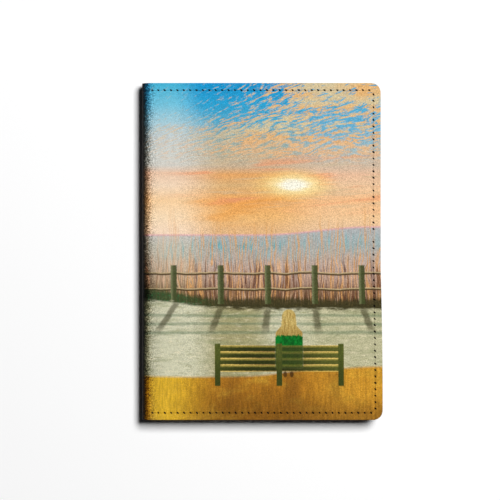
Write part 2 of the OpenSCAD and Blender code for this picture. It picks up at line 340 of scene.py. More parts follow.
# ------------------------------------------------------------------ shader arithmetic
class Graph:
    """Builds a material's nodes. A value is a float or a node socket."""

    def __init__(self, name):
        self.mat = bpy.data.materials.new(name)
        self.mat.use_nodes = True
        self.nodes, self.links = self.mat.node_tree.nodes, self.mat.node_tree.links
        self.nodes.clear()

    def put(self, socket, value):
        if isinstance(value, bpy.types.NodeSocket):
            self.links.new(value, socket)
        elif isinstance(value, tuple) and len(value) == 3 and len(socket.default_value) == 4:
            socket.default_value = (*value, 1)
        else:
            socket.default_value = value

    def node(self, kind, inputs, **settings):
        """Adds a node, fills or links its inputs, and gives back its outputs."""
        n = self.nodes.new("ShaderNode" + kind)
        for key, value in settings.items():
            setattr(n, key, value)
        for key, value in inputs.items():
            self.put(n.inputs[key], value)
        return n.outputs

    def math(self, op, *args):
        if all(isinstance(a, (int, float)) for a in args):
            fold = {
                "ADD": lambda a, b: a + b, "SUBTRACT": lambda a, b: a - b,
                "MULTIPLY": lambda a, b: a * b, "DIVIDE": lambda a, b: a / b,
            }
            if op in fold:
                return fold[op](*args)
        return self.node("Math", dict(enumerate(args)), operation=op)[0]

    def chain(self, op, first, *rest):
        for value in rest:
            first = self.math(op, first, value)
        return first

    def add(self, *values):
        return self.chain("ADD", *values)

    def mul(self, *values):
        return self.chain("MULTIPLY", *values)

    def low(self, *values):
        return self.chain("MINIMUM", *values)

    def high(self, *values):
        return self.chain("MAXIMUM", *values)

    def sub(self, a, b):
        return self.math("SUBTRACT", a, b)

    def lin(self, a, k, c=0.0):
        """a * k + c"""
        return self.math("MULTIPLY_ADD", a, k, c)

    def size(self, a):
        return self.math("ABSOLUTE", a)

    def wave(self, a, k, phase=0.0):
        return self.math("SINE", self.lin(a, k, phase))

    def step(self, a, e0, e1, v0=0.0, v1=1.0):
        """Goes smoothly from v0 to v1 as a goes from e0 to e1."""
        if isinstance(e0, (int, float)) and isinstance(e1, (int, float)) and e0 > e1:
            e0, e1, v0, v1 = e1, e0, v1, v0
        inputs = {"Value": a, "From Min": e0, "From Max": e1, "To Min": v0, "To Max": v1}
        return self.node("MapRange", inputs, interpolation_type="SMOOTHSTEP")[0]

    def band(self, a, lo, hi, soft):
        """1 where a is between lo and hi."""
        return self.mul(self.step(a, lo - soft, lo + soft), self.step(a, hi - soft, hi + soft, 1.0, 0.0))

    def vec(self, x, y, z=0.0):
        return self.node("CombineXYZ", {0: x, 1: y, 2: z})[0]

    def noise(self, vector, scale, detail=2.0, rough=0.5, distort=0.0):
        keys = ("Vector", "Scale", "Detail", "Roughness", "Distortion")
        return self.node("TexNoise", dict(zip(keys, (vector, scale, detail, rough, distort))))["Fac"]

    def drawn(self, a, ka, b, kb, layer, detail, rough):
        """Noise drawn out along a or b: the smaller factor is the longer way. Each layer has its own."""
        return self.noise(self.vec(self.mul(a, ka), self.mul(b, kb), layer), 1.0, detail, rough)

    def cells(self, vector, scale, feature="F1"):
        return self.node("TexVoronoi", {"Vector": vector, "Scale": scale}, feature=feature)["Distance"]

    def mix(self, a, b, f):
        """Colour a going to colour b as f goes from 0 to 1."""
        return self.node("Mix", {0: f, 6: a, 7: b}, data_type="RGBA")[2]

    def tint(self, colour, amount):
        """Colour times a number."""
        return self.node("VectorMath", {0: colour, "Scale": amount}, operation="SCALE")[0]

    def times(self, a, b):
        """Colour times colour."""
        return self.node("VectorMath", {0: a, 1: b}, operation="MULTIPLY")[0]

    def ramp(self, a, stops):
        """A colour from a list of (value, red, green, blue), read at a."""
        lo, hi = stops[0][0], stops[-1][0]
        n = self.nodes.new("ShaderNodeValToRGB")
        r = n.color_ramp
        r.interpolation = "LINEAR"
        for i, (at, *colour) in enumerate(stops):
            place = (at - lo) / (hi - lo)
            e = r.elements[i] if i < 2 else r.elements.new(place)
            e.position = place
            e.color = (*rgb(*colour), 1)
        self.put(n.inputs[0], self.lin(a, 1 / (hi - lo), -lo / (hi - lo)))
        return n.outputs[0]

    def attribute(self, name):
        return self.node("Attribute", {}, attribute_type="GEOMETRY", attribute_name=name)["Vector"]

    def split(self, vector):
        return tuple(self.node("SeparateXYZ", {0: vector}))

    def bump(self, height, strength, distance):
        return self.node("Bump", {"Strength": strength, "Distance": distance, "Height": height})[0]

    def finish(self, colour, rough, normal, specular):
        inputs = {"Base Color": colour, "Roughness": rough, "Normal": normal, "Specular IOR Level": specular}
        shader = self.node("BsdfPrincipled", inputs)
        self.node("OutputMaterial", {0: shader[0]})
        return self.mat


def rgb(r, g, b):
    """An sRGB colour, 0 to 255, as linear light."""
    parts = (c / 255 for c in (r, g, b))
    return tuple(c / 12.92 if c <= 0.04045 else ((c + 0.055) / 1.055) ** 2.4 for c in parts)


# ------------------------------------------------------------------ the printed picture
# A plain seaside evening in bands: sky, sea, reeds, an even fence, a pale path, and ochre earth with a bench.
HORIZON = 7.8
SUN = (15.2, 31.2)
POST_FIRST, POST_GAP = -41.0, 22.0
POST_HALF, POST_TOP, POST_FOOT = 1.4, -6.4, -24.6
RAILS, RAIL_HALF = (-10.4, -17.8), 0.48
PATH_EDGE = -26.0
SHADOW_FAN = 0.0115  # how fast the post shadows draw apart, as they lead away from the sun
BENCH_MID, BENCH_HALF = 8.0, 30.0
SLATS, SLAT_GAP, SLAT_TOP = 4, 3.05, -44.0
LEG_HALF, BENCH_FOOT = 1.3, -63.0
TRACKS, TRACK_GAP, TRACK_TOP = 3, 4.0, -30.0
SITTER_U, SEAT = 12.6, (-55.2, -54.2)  # the figure's middle, and where it ends behind the seat


def nearest(g, a, first, gap):
    """Signed distance from a to the nearest of a row of even marks."""
    return g.math("WRAP", g.lin(a, 1, -first), gap / 2, -gap / 2)


def sky(g, u, v):
    # the left ramp, nearest the spine, is the print with a painted sheen on it, paler and greyer than the
    # rest
    left = g.ramp(v, [
        (8, 255, 226, 198), (16, 255, 226, 188), (24, 255, 214, 164), (31, 248, 220, 190),
        (37, 240, 202, 172), (40.5, 216, 214, 205), (47, 210, 214, 208), (54, 200, 211, 213),
        (61, 166, 207, 220), (69, 116, 198, 224), (78, 68, 182, 217),
    ])
    centre = g.ramp(v, [
        (8, 232, 188, 140), (16, 243, 188, 118), (24, 243, 173, 98), (31, 224, 182, 126),
        (36, 234, 170, 104), (40, 205, 182, 152), (47, 172, 180, 162), (54, 128, 170, 176),
        (61, 80, 170, 204), (69, 42, 164, 212), (78, 20, 150, 208),
    ])
    right = g.ramp(v, [
        (8, 232, 198, 164), (16, 246, 203, 154), (24, 248, 193, 140), (31, 238, 200, 160),
        (36, 236, 192, 158), (40, 212, 190, 166), (47, 166, 188, 190), (54, 126, 182, 206),
        (61, 92, 174, 212), (69, 74, 172, 212), (78, 60, 160, 204),
    ])
    colour = g.mix(left, centre, g.step(u, -42, g.step(v, 56, 70, -16, -26)))
    colour = g.mix(colour, right, g.step(u, 2, 34))
    # streaks of small cloud that fan out from low on the left
    du, dv = g.lin(u, 1, 118), g.lin(v, 1, -22)
    fan = g.math("ARCTAN2", dv, du)
    reach = g.math("SQRT", g.add(g.mul(du, du), g.mul(dv, dv)))
    warp = g.noise(g.vec(u, v), 0.07, 2, 0.5)
    streak = g.noise(g.vec(g.mul(reach, 0.15), g.lin(fan, 120, g.mul(warp, 4.5))), 1.0, 5, 0.62, 0.35)
    tuft = g.noise(g.vec(g.mul(reach, 0.42), g.lin(fan, 200, g.mul(warp, 7.0)), 4.0), 1.0, 3, 0.65, 0.8)
    cover_u = g.step(u, -50, 12, 0.0, 1.0)
    cover_v = g.mul(g.step(v, 38, 48), g.lin(cover_u, 0.45, 0.55))
    crown = g.mul(g.step(v, 64, 75, 0.0, 0.06), g.step(u, 8, 28))
    thin_part = g.add(
        g.mul(g.band(v, 54, 68, 5.0), g.step(u, 12, 30), -0.03),
        g.mul(g.step(v, 56, 66), g.step(u, 18, -2), -0.055),
    )
    wash = g.mul(g.band(v, 44, 62, 7.0), g.band(u, -52, 4, 7.0), 0.04)
    level = g.add(
        g.mul(streak, 0.66), g.mul(tuft, 0.34), g.mul(cover_u, 0.085), wash, crown, thin_part, -0.06,
    )
    cloud = g.mul(g.step(level, 0.465, 0.555), cover_v)
    warm = g.drawn(u, 0.05, v, 0.16, 7.0, 3, 0.5)
    cloud_colour = g.mix(rgb(222, 200, 152), rgb(240, 184, 108), g.step(warm, 0.38, 0.66))
    cloud_colour = g.mix(cloud_colour, rgb(240, 178, 130), g.mul(g.step(v, 60, 46), 0.6))
    colour = g.mix(colour, cloud_colour, g.mul(cloud, 0.93))
    # long low bars of salmon and gold between the cloud and the glow
    bars = g.noise(g.vec(g.mul(u, 0.022), g.lin(v, 0.30, g.mul(u, -0.018)), 2.0), 1.0, 4, 0.55, 0.3)
    low_sky = g.band(v, 20, 44, 5.0)
    salmon = g.mul(g.step(bars, 0.53, 0.66), low_sky, g.step(u, -50, -24), 0.72)
    colour = g.mix(colour, rgb(241, 158, 112), salmon)
    between = g.mul(g.step(bars, 0.44, 0.36), low_sky, g.step(u, -46, -20), 0.5)
    colour = g.mix(colour, rgb(214, 190, 152), between)
    gold = g.drawn(u, 0.035, v, 0.16, 11.0, 3, 0.5)
    glow = g.mul(g.step(gold, 0.48, 0.68), g.band(v, 12, 30, 5.0), g.band(u, -34, 14, 10.0), 0.55)
    colour = g.mix(colour, rgb(242, 164, 78), glow)
    # the sun behind thin cloud
    su, sv = g.lin(u, 1, -SUN[0]), g.lin(v, 1, -SUN[1])
    ragged = g.drawn(u, 0.10, v, 0.9, 5.0, 3, 0.6)
    far = g.math("SQRT", g.add(g.mul(su, su, 0.14), g.mul(sv, sv)))
    far = g.add(far, g.lin(ragged, 3.0, -1.5))
    colour = g.mix(colour, rgb(255, 216, 130), g.mul(g.step(far, 9.0, 2.0), 0.8))
    colour = g.mix(colour, rgb(255, 236, 178), g.mul(g.step(far, 6.0, 2.2), 0.8))
    return g.mix(colour, rgb(255, 251, 232), g.step(far, 3.5, 1.2))


def shore(g, u, v, colour):
    """Sea, reeds, fence and the grass under it."""
    rise = g.step(u, 0, 52, 0.0, 3.8)
    h = g.sub(v, rise)
    below = g.step(h, HORIZON + 0.2, HORIZON - 0.3)
    # sea_left, nearest the spine, is the print with a painted sheen on it, paler than the sea beyond
    sea_left = g.ramp(v, [
        (-24, 96, 88, 52), (-19, 128, 112, 74), (-13, 196, 170, 138),
        (-6, 212, 194, 170), (3, 204, 200, 184), (10, 212, 206, 200),
    ])
    sea = g.ramp(v, [
        (-24, 88, 70, 44), (-19, 136, 106, 80), (-13, 182, 152, 136),
        (-6, 196, 176, 164), (3, 172, 178, 176), (10, 182, 184, 184),
    ])
    sea = g.mix(sea_left, sea, g.step(u, -40, -20))
    dabs = g.drawn(u, 0.75, v, 0.10, 3.0, 3, 0.6)
    teal = g.mul(g.band(h, -4.5, 5.5, 3.0), g.step(dabs, 0.42, 0.66), g.band(u, -46, 54, 8.0))
    sea = g.mix(sea, rgb(112, 184, 190), g.mul(teal, 0.55))
    patch = g.mul(g.band(h, 0.5, 4.0, 1.5), g.step(dabs, 0.47, 0.58), g.band(u, -24, 6, 8.0))
    sea = g.mix(sea, rgb(44, 172, 190), g.mul(patch, 0.8))
    colour = g.mix(colour, sea, below)
    colour = g.mix(colour, rgb(232, 172, 178), g.mul(g.band(h, HORIZON - 0.55, HORIZON + 0.35, 0.3), 0.6))
    # reeds: leaning vertical strokes, thin and golden above, thick and brown below
    lean = g.mul(g.drawn(u, 0.16, v, 0.05, 9.0, 2, 0.5), 5.0)
    column = g.add(u, lean)
    tall = g.noise(g.vec(g.mul(u, 0.13), 0.0, 1.0), 1.0, 2, 0.5)
    top = g.lin(g.step(tall, 0.36, 0.68), 21.0, -1.0)
    thin = g.drawn(column, 1.5, v, 0.03, 0.0, 2, 0.6)
    reed_area = g.mul(g.step(g.sub(v, top), 6.0, -5.0), g.step(v, -25.5, -23.5))
    reed_area = g.mul(reed_area, g.step(u, -51, -30, 0.35, 1.0))
    blades = g.mul(g.step(thin, 0.50, 0.57), reed_area, g.step(v, 16, 2, 0.45, 0.8))
    colour = g.mix(colour, rgb(226, 166, 100), blades)
    wide = g.drawn(column, 1.25, v, 0.05, 6.0, 3, 0.62)
    low_area = g.mul(g.step(g.add(v, g.lin(tall, 24.0, -12.0)), 4.0, -12.0), g.step(v, -25.5, -23.0))
    thick = g.step(g.add(wide, g.step(v, -4, -20, -0.03, 0.05)), 0.53, 0.60)
    colour = g.mix(colour, rgb(104, 64, 46), g.mul(thick, low_area, g.step(u, -50, -22, 0.4, 0.85)))
    hair = g.drawn(column, 3.1, v, 0.07, 16.0, 2, 0.6)
    fine = g.mul(g.step(hair, 0.57, 0.63), g.step(v, 4.0, -8.0), g.step(v, -25.5, -23.0), 0.6)
    colour = g.mix(colour, rgb(74, 46, 34), fine)
    pale = g.drawn(column, 1.7, v, 0.06, 14.0, 2, 0.6)
    return g.mix(colour, rgb(226, 184, 150), g.mul(g.step(pale, 0.55, 0.62), low_area, 0.7))


def fence(g, u, v, colour):
    """Two rails on a row of even posts, and the grass at their feet."""
    edge = g.noise(g.vec(u, v, 2.0), 0.9, 3, 0.6)
    sway = g.lin(g.noise(g.vec(g.mul(u, 0.07), 3.0), 1.0, 2, 0.5), 3.0, -1.5)
    for base in RAILS:
        rail = g.sub(g.sub(v, base), sway)
        wood = g.mul(g.step(g.size(rail), RAIL_HALF + 0.30, RAIL_HALF - 0.12), 0.95)
        colour = g.mix(colour, rgb(84, 66, 40), wood)
        lit = g.mul(g.step(g.size(g.lin(rail, 1, -RAIL_HALF)), 0.40, 0.12), 0.78)
        colour = g.mix(colour, rgb(206, 182, 138), lit)
    # grass and the dark foot of the fence
    grass = g.drawn(u, 0.8, v, 0.5, 8.0, 3, 0.65)
    dip = g.add(g.step(u, -56, -12, 3.6, -0.4), g.mul(g.wave(u, 0.10, 1.0), 0.4))
    verge = g.sub(g.sub(v, dip), g.lin(grass, 3.2, -1.6))
    turf = g.mix(rgb(52, 76, 38), rgb(62, 58, 32), g.step(u, -44, -14))
    turf = g.mix(turf, rgb(104, 92, 52), g.mul(g.step(grass, 0.54, 0.72), 0.5))
    turf = g.mix(turf, rgb(26, 112, 60), g.mul(g.step(edge, 0.55, 0.66), g.step(u, -16, -40), 0.7))
    colour = g.mix(colour, turf, g.mul(g.step(verge, -20.4, -23.0), 0.93))
    # posts
    across = nearest(g, u, POST_FIRST, POST_GAP)
    shape = g.add(g.size(across), g.lin(edge, 0.9, -0.45))
    post = g.mul(g.step(shape, POST_HALF + 0.25, POST_HALF - 0.2), g.band(v, POST_FOOT, POST_TOP, 0.35))
    shade = g.mix(rgb(68, 76, 40), rgb(118, 124, 84), g.step(across, 0.2, -POST_HALF))
    return g.mix(colour, shade, g.mul(post, 0.96))


def ground(g, u, v, colour):
    """The pale path, the post shadows on it and the ochre earth in front."""
    brush = g.drawn(u, 0.22, v, 0.9, 9.0, 3, 0.6)
    fray = g.add(g.lin(brush, 4.0, -2.0), g.step(u, -62, -8, 4.0, -0.5))
    path_top = g.step(g.sub(v, fray), -25.4, -27.8)
    body = g.mix(rgb(214, 212, 182), rgb(172, 164, 120), g.band(u, -26, 2, 9.0))
    body = g.mix(body, rgb(194, 190, 152), g.step(u, 8, 30))
    drift = g.drawn(u, 0.04, v, 0.22, 5.0, 4, 0.6)
    body = g.mix(body, rgb(146, 152, 110), g.mul(g.step(drift, 0.48, 0.68), 0.6))
    body = g.mix(body, rgb(150, 146, 100), g.mul(g.step(brush, 0.46, 0.34), 0.4))
    body = g.mix(body, rgb(238, 226, 190), g.mul(g.step(brush, 0.52, 0.70), 0.5))
    colour = g.mix(colour, body, path_top)
    for i in range(TRACKS):
        line = g.add(g.lin(v, 1, i * TRACK_GAP - TRACK_TOP), g.lin(drift, 2.4, -1.2))
        colour = g.mix(colour, rgb(88, 118, 88), g.mul(g.step(g.size(line), 1.2, 0.2), path_top, 0.5))
    soft = g.noise(g.vec(u, v, 12.0), 0.5, 3, 0.6)
    far = g.sub(PATH_EDGE, v)
    at_fence = g.math("DIVIDE", g.add(u, g.mul(far, SUN[0] * SHADOW_FAN)), g.lin(far, SHADOW_FAN, 1.0))
    across = g.add(g.size(nearest(g, at_fence, POST_FIRST, POST_GAP)), g.lin(soft, 1.8, -0.9))
    shadow = g.mul(g.step(across, 2.2, 0.8), g.step(v, PATH_EDGE - 14, PATH_EDGE - 8), path_top)
    colour = g.mix(colour, rgb(80, 76, 48), g.mul(shadow, 0.74))
    # earth: its edge rises to the right
    rim = g.add(g.step(u, -6, 22, 0.0, 2.6), g.step(u, 20, 54, 0.0, 2.2), g.mul(g.wave(u, 0.07, 0.5), 0.3))
    under = g.step(g.sub(v, rim), -57.6, -59.4)
    earth = g.mix(rgb(224, 178, 44), rgb(176, 118, 34), g.step(u, -46, -18))
    earth = g.mix(earth, rgb(206, 148, 46), g.step(u, 12, 40))
    dust = g.drawn(u, 0.07, v, 0.11, 1.0, 4, 0.6)
    earth = g.mix(earth, rgb(214, 168, 58), g.mul(g.step(dust, 0.48, 0.68), 0.5))
    dark = g.mul(g.band(u, -30, 24, 14.0), g.step(v, -58, -76))
    earth = g.mix(earth, rgb(104, 66, 18), g.mul(dark, 0.62))
    foot = g.mul(g.step(u, 4, 22), g.step(v, -66, -77))
    earth = g.mix(earth, rgb(134, 90, 30), g.mul(foot, 0.72))
    stroke = g.drawn(u, 0.9, v, 0.13, 3.0, 3, 0.6)
    earth = g.tint(earth, g.lin(stroke, 1.25, 0.375))
    shades = ((BENCH_MID - BENCH_HALF + 8, 0.35), (SITTER_U + 1.5, 0.5), (BENCH_MID + BENCH_HALF - 4, 0.35))
    for x, power in shades:
        streak = g.step(g.size(g.add(u, -x, g.lin(soft, 4.0, -2.0))), 5.6, 1.2)
        earth = g.mix(earth, rgb(116, 76, 26), g.mul(streak, g.step(v, -77, -67), power))
    return g.mix(colour, earth, under)


def sitter(g, u, v, colour):
    """A plain figure seen from behind, seated on the bench."""
    rag = g.lin(g.noise(g.vec(u, v, 21.0), 1.1, 3, 0.6), 1.0, -0.5)
    x = g.lin(u, 1, -SITTER_U)
    # back and shoulders
    top = g.add(g.lin(v, 1, 36.9), g.mul(x, x, x, x, 0.0018))
    sides = g.step(g.add(g.size(x), g.mul(rag, 0.6)), 6.75, 6.1)
    torso = g.mul(sides, g.step(g.add(top, rag), 0.6, -0.5), g.step(v, *SEAT))
    wool = g.noise(g.vec(u, g.mul(v, 0.5), 2.0), 0.7, 3, 0.6)
    jumper = g.mix(rgb(16, 128, 44), rgb(12, 92, 30), g.step(wool, 0.4, 0.62))
    jumper = g.mix(jumper, rgb(22, 76, 26), g.mul(g.step(v, -42, -47), 0.8))
    colour = g.mix(colour, jumper, torso)
    # long loose hair: a round head, falling to the shoulders
    head = g.math("SQRT", g.add(g.mul(x, x), g.mul(g.lin(v, 1, 30.6), g.lin(v, 1, 30.6), 0.85)))
    fall = g.add(g.step(v, -30, -34.5, 3.25, 3.5), g.step(v, -34.0, -38.6, 0.0, 2.8))
    strand = g.noise(g.vec(g.mul(x, 1.3), 5.0), 1.0, 2, 0.6)
    lower = g.step(g.sub(g.add(g.size(x), g.mul(rag, 0.7)), fall), 0.3, -0.3)
    lower = g.mul(lower, g.band(g.add(v, g.lin(strand, -4.2, 2.6)), -38.8, -30.6, 0.3))
    hair = g.high(g.step(head, 3.45, 3.0), lower)
    lock = g.drawn(x, 1.3, v, 0.22, 3.0, 3, 0.6)
    gold = g.mix(rgb(212, 186, 112), rgb(168, 134, 64), g.step(lock, 0.36, 0.74))
    gold = g.mix(gold, rgb(160, 124, 56), g.mul(g.step(v, -33, -38.5), 0.5))
    return g.mix(colour, gold, hair)


def bench(g, u, v, colour):
    """A level slatted bench seen from behind."""
    rag = g.lin(g.noise(g.vec(u, v, 31.0), 0.8, 3, 0.6), 0.7, -0.35)
    slat_tone = g.mix(rgb(92, 96, 40), rgb(48, 54, 20), g.band(u, -20, 24, 14.0))
    gap_tone = g.mix(rgb(240, 202, 104), rgb(166, 132, 60), g.band(u, -6, 22, 7.0))
    from_mid = g.size(g.lin(u, 1, -BENCH_MID))
    bottom = SLAT_TOP - SLATS * SLAT_GAP
    panel = g.step(from_mid, BENCH_HALF + 0.2, BENCH_HALF - 0.4)
    panel = g.mul(panel, g.band(v, bottom - 0.1, SLAT_TOP, 0.25))
    behind = g.mul(g.band(g.lin(u, 1, -SITTER_U), -6.6, 6.6, 0.3), g.step(v, *SEAT))
    colour = g.mix(colour, gap_tone, g.mul(panel, g.sub(0.9, g.mul(behind, 0.62))))
    off = nearest(g, g.sub(v, g.mul(rag, 0.8)), SLAT_TOP - SLAT_GAP / 2, SLAT_GAP)
    lit = g.mix(slat_tone, rgb(176, 160, 74), g.mul(g.step(off, 0.25, 1.0), 0.6))
    lit = g.mix(lit, rgb(20, 58, 22), g.mul(behind, 0.6))
    bar = g.mul(g.step(g.size(off), 0.5 * SLAT_GAP, 0.34 * SLAT_GAP), panel)
    colour = g.mix(colour, lit, g.mul(bar, g.sub(1.0, g.mul(behind, 0.2))))
    # plain straight legs at both ends and in the middle
    grain = g.drawn(u, 1.4, v, 0.12, 4.0, 2, 0.6)
    tone = g.mix(rgb(62, 70, 26), rgb(104, 112, 48), g.mul(grain, g.step(v, -60, SLAT_TOP)))
    tall = g.band(v, BENCH_FOOT, SLAT_TOP + 0.8, 0.3)
    for place in (0.0, BENCH_HALF - LEG_HALF):
        off_leg = g.size(g.sub(from_mid, place))
        colour = g.mix(colour, tone, g.mul(g.step(off_leg, LEG_HALF + 0.2, LEG_HALF - 0.2), tall))
    # small dark shoes under the seat
    for x in (SITTER_U - 1.9, SITTER_U + 1.1):
        su, sv = g.lin(u, 1, -x), g.lin(v, 1, 57.6)
        shoe = g.step(g.math("SQRT", g.add(g.mul(su, su), g.mul(sv, sv, 0.45))), 1.15, 0.7)
        colour = g.mix(colour, rgb(70, 46, 18), g.mul(shoe, 0.85))
    return colour


def picture(g, s_u, v, zone):
    """One zone of the print, and u. The print runs mirrored over the back panel, without the figure."""
    from_spine = g.lin(s_u, 1, COVER_S - EDGE_X)
    u = g.lin(g.size(from_spine), 1, EDGE_X - COVER_S)
    if zone == "sky":
        return shore(g, u, v, sky(g, u, v)), u
    front = g.step(from_spine, -1.0, 1.0)
    if zone == "shore":
        colour = fence(g, u, v, shore(g, u, v, rgb(200, 190, 170)))
        colour = ground(g, u, v, colour)
        return g.mix(colour, sitter(g, u, v, colour), front), u
    colour = ground(g, u, v, rgb(200, 190, 160))
    return bench(g, u, v, g.mix(colour, sitter(g, u, v, colour), front)), u


# ------------------------------------------------------------------ materials
PLY_TWIST = 9.0  # radians in each millimetre of thread


def plies(g):
    """A thread's own directions, and a wave that follows its twisted plies."""
    along, across, up = g.split(g.attribute("strand"))
    return along, across, up, g.wave(g.add(g.mul(along, PLY_TWIST), g.math("ARCTAN2", up, across)), 1.0)


def printed_leather(name, zone, thread=False):
    g = Graph(name)
    u, v, depth = g.split(g.attribute("rest"))
    flat = g.vec(u, v)
    colour, u = picture(g, u, v, zone)
    # pebble grain: rounded cells with fine creases between them
    broad = g.noise(flat, 0.25, 3, 0.5)
    bent = g.vec(g.add(u, g.lin(g.noise(flat, 0.9, 2), 1.2)), g.add(v, g.lin(g.noise(flat, 1.1, 2), 1.2)))
    pebble = g.cells(bent, 1.35)
    small = g.cells(bent, 2.7)
    slant = g.vec(g.add(g.mul(u, 0.75), g.mul(v, 0.35)), g.sub(v, g.mul(u, 0.35)), 2.0)
    crease = g.noise(slant, 2.2, 3, 0.72)
    height = g.add(g.mul(pebble, -0.55), g.mul(small, -0.30), g.mul(crease, 0.8))
    pits = g.step(g.cells(bent, 1.25, "DISTANCE_TO_EDGE"), 0.17, 0.0)
    # painted light and shade on the grain: its tone contrast is raised over the spine roll, where raised
    # grain catches the light, and lowered in the band beside it, where the sheen lies
    painted_grain_light = g.sub(g.step(u, -46, -53, 1.0, 1.5), g.mul(g.band(u, -50, -38, 3.5), 0.42))
    grain = g.add(g.lin(crease, 1.35, -0.675), g.mul(pits, -0.16), 0.03)
    colour = g.tint(colour, g.add(g.mul(grain, painted_grain_light), g.lin(broad, 0.10, 0.88)))
    # painted shade: the print darkens to near black where the hide rolls round the spine, and the grain
    # breaks the shade's edge up
    broken = g.mul(g.lin(grain, -1.7), g.band(u, -56.5, -50.6, 2.2))
    painted_roll_shade = g.high(g.low(g.add(g.step(u, -50.0, -54.4), broken), 1.0), 0.0)
    colour = g.times(colour, g.mix((1.0, 1.0, 1.0), g.tint(colour, 0.85), painted_roll_shade))
    roll = g.add(g.step(u, -51.4, -56.0), g.mul(broken, 0.7))
    colour = g.mix(colour, rgb(13, 11, 10), g.low(g.high(roll, 0.0), 0.97))
    # painted shade: below the horizon the print darkens by up to 15 % towards the spine
    if zone != "sky":
        colour = g.tint(colour, g.sub(1.0, g.mul(g.step(u, -44, -52), g.step(v, 7, -8), 0.15)))
    # dark on the back face, the cut edges and the walls of the needle holes; in the holes it is painted shade
    cut_and_hole_shade = g.step(depth, 0.05, 0.20)
    colour = g.mix(colour, rgb(20, 15, 12), cut_and_hole_shade)
    shine = g.mul(g.step(u, -54.0, -50.5, 0.02, 0.34), g.step(u, -44.0, -22.0, 1.0, 0.45))
    if thread:
        ply = plies(g)[-1]
        colour = g.tint(colour, g.lin(ply, 0.10, 0.86))
        return g.finish(colour, 0.62, g.bump(ply, 0.6, 0.00006), specular=shine)
    rough = g.add(g.lin(height, 0.22, 0.42), g.lin(broad, 0.08, -0.04))
    normal = g.bump(height, 0.6, 0.00022)
    return g.finish(colour, rough, normal, specular=shine)


def dark_leather(name, base, light, scale):
    g = Graph(name)
    u, v, _ = g.split(g.attribute("rest"))
    flat = g.vec(u, v)
    weave = g.mul(g.wave(u, 2 * math.pi * scale), g.wave(v, 2 * math.pi * scale))
    cloudy = g.noise(flat, 0.12, 3, 0.55)
    tooth = g.noise(flat, 4.0, 2, 0.6)
    colour = g.mix(base, light, g.add(g.mul(cloudy, 0.7), g.mul(tooth, 0.3)))
    height = g.add(g.mul(weave, 0.4), g.mul(tooth, 0.6))
    return g.finish(colour, g.lin(tooth, 0.2, 0.52), g.bump(height, 0.4, 0.00006), specular=0.35)


def card(name):
    g = Graph(name)
    u, v, _ = g.split(g.attribute("rest"))
    flat = g.vec(u, v)
    fibre = g.noise(g.vec(u, g.mul(v, 0.35)), 5.0, 3, 0.7, 0.8)
    fleck = g.step(g.noise(g.vec(u, v, 4.0), 2.6, 2, 0.5), 0.66, 0.72)
    colour = g.mix(rgb(176, 142, 100), rgb(198, 166, 124), g.step(fibre, 0.35, 0.65))
    colour = g.mix(colour, rgb(120, 88, 56), g.mul(fleck, 0.5))
    colour = g.tint(colour, g.lin(g.noise(flat, 0.08, 2), 0.12, 0.94))
    return g.finish(colour, 0.82, g.bump(fibre, 0.35, 0.00005), specular=0.25)


def paper(name):
    g = Graph(name)
    u, v, leaf = g.split(g.attribute("rest"))
    flat = g.vec(u, v, leaf)
    tooth = g.noise(flat, 3.0, 4, 0.7)
    mottle = g.noise(flat, 0.06, 3, 0.5)
    blotch = g.step(g.add(g.mul(tooth, 0.6), g.mul(mottle, 0.4)), 0.3, 0.7)
    colour = g.mix(rgb(243, 239, 227), rgb(249, 246, 238), blotch)
    fleck = g.step(g.noise(g.vec(u, v, g.add(leaf, 9.0)), 1.7, 2, 0.5), 0.70, 0.76)
    colour = g.mix(colour, rgb(214, 205, 186), g.mul(fleck, 0.35))
    edge = g.math("FRACT", g.mul(leaf, 7.31))
    colour = g.tint(colour, g.lin(edge, 0.10, 0.90))
    return g.finish(colour, 0.88, g.bump(tooth, 0.30, 0.00004), specular=0.2)


def open_weave(name):
    g = Graph(name)
    u, v, _ = g.split(g.attribute("rest"))
    warp, weft = g.wave(u, 2 * math.pi * 1.4), g.wave(v, 2 * math.pi * 1.4)
    cloth = g.high(warp, weft)
    colour = g.mix(rgb(150, 140, 120), rgb(236, 230, 214), g.step(cloth, 0.1, 0.8))
    colour = g.tint(colour, g.lin(g.noise(g.vec(u, v), 1.5, 3), 0.2, 0.88))
    return g.finish(colour, 0.9, g.bump(cloth, 0.6, 0.0001), specular=0.15)


def twisted_thread(name, base, light):
    g = Graph(name)
    along, across, up, ply = plies(g)
    fuzz = g.noise(g.vec(g.mul(along, 2.0), across, up), 3.0, 3, 0.6)
    colour = g.mix(base, light, g.add(g.lin(ply, 0.25, 0.35), g.mul(fuzz, 0.4)))
    return g.finish(colour, 0.7, g.bump(ply, 0.7, 0.00008), specular=0.3)


LEATHER = tuple(printed_leather(f"printed_leather_{z}", z) for z in ZONES)
PRINT_THREAD = tuple(printed_leather(f"printed_thread_{z}", z, thread=True) for z in ZONES)
LINING_MAT = dark_leather("lining", rgb(38, 26, 20), rgb(58, 42, 33), 1.3)
POCKET_MAT = dark_leather("pocket", rgb(46, 32, 25), rgb(68, 50, 40), 1.3)
CARD_MAT = card("card")
PAPER_MAT = paper("paper")
LINER_MAT = open_weave("liner")
BOBBIN_MAT = twisted_thread("bobbin_thread", rgb(40, 29, 22), rgb(84, 64, 48))
LINEN_MAT = twisted_thread("sewing_thread", rgb(206, 200, 186), rgb(240, 237, 228))

